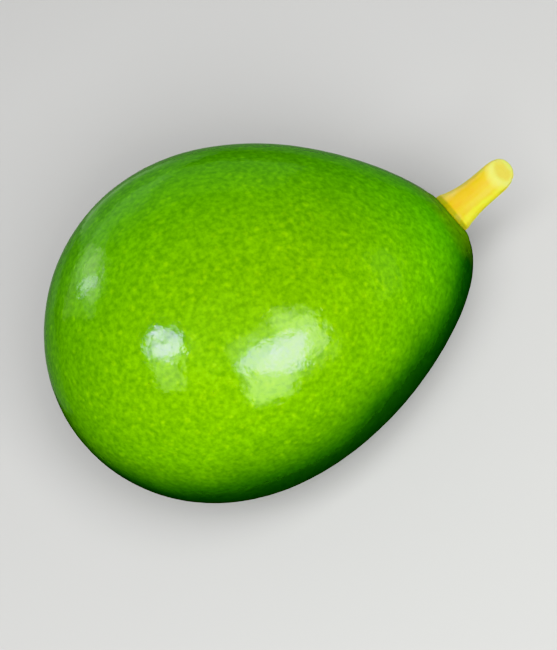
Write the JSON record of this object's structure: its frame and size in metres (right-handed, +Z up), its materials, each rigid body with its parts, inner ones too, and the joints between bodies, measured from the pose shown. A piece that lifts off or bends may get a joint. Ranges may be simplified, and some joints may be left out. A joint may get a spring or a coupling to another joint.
{
  "type": "avocado",
  "caption": "Whole smooth-skinned green avocado with its short stem stub, lying on its side on a small flat spot.",
  "frame": {"origin": "middle of the small flat spot on the underside that the fruit rests on", "axes": "+Z up from the surface it rests on; +X along the fruit, from its blossom end to its stem end, level; +Y to the side that the stem leans to"},
  "size_m": [0.1333, 0.0919, 0.0891],
  "materials": {
    "skin": "waxy smooth green fruit skin with fine pebbling and pale pin-dot pores, softly glossy",
    "stem": "fresh yellow stem, faintly ridged lengthwise, matt to satin, with a paler slanted cut end"
  },
  "bodies": {
    "root": {"fruit": "skin", "stem": "stem"}
  },
  "joints": []
}
